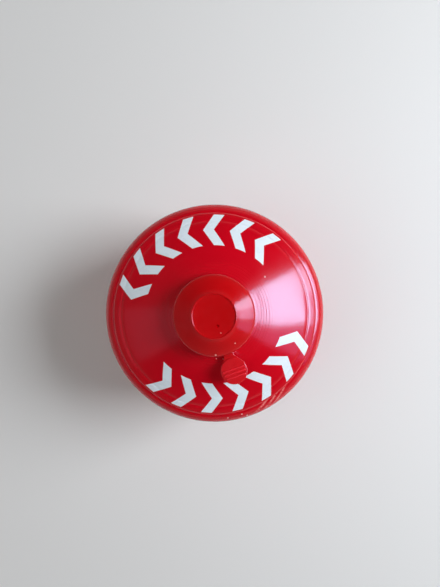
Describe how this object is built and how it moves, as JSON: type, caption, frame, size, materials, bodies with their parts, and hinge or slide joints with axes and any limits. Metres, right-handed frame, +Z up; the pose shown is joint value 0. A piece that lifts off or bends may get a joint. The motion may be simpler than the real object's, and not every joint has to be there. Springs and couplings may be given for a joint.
{
  "type": "gas fuel canister",
  "caption": "Squat screw-valve gas canister with a domed top, a seamed hollow base, a spring-closed valve in a threaded boss and a press-on cap with a pull tab.",
  "frame": {"origin": "centre of the ring that the canister stands on, on the resting plane", "axes": "+Z up along the can's axis, towards the valve; the cap's pull tab points towards -Y and a little towards +X, at -70.3 degrees from +X"},
  "size_m": [0.11, 0.11, 0.0966],
  "materials": {
    "red_paint": "gloss enamel on steel",
    "tinplate": "pressed tinplate, semi-bright",
    "black_rubber": "matt nitrile rubber",
    "pale_nylon": "natural moulded nylon",
    "spring_steel": "bright drawn wire",
    "red_plastic": "satin moulded polyethylene"
  },
  "bodies": {
    "canister": {"can": "red_paint", "valve_cup": "tinplate", "cup_gasket": "black_rubber", "stem_gasket": "black_rubber", "valve_housing": "pale_nylon"},
    "stem": {"valve_stem": "pale_nylon", "return_spring": "spring_steel"},
    "cap": {"protective_cap": "red_plastic"}
  },
  "joints": [
    {"name": "cap_pull", "type": "slide", "parent": "canister", "child": "cap", "axis": [0, 0, 1], "range_m": [0, 0.025]},
    {"name": "valve_press", "type": "slide", "parent": "canister", "child": "stem", "axis": [0, 0, -1], "range_m": [0, 0.0018], "stiffness_N_per_m": 300, "deforming": ["return_spring"]}
  ]
}
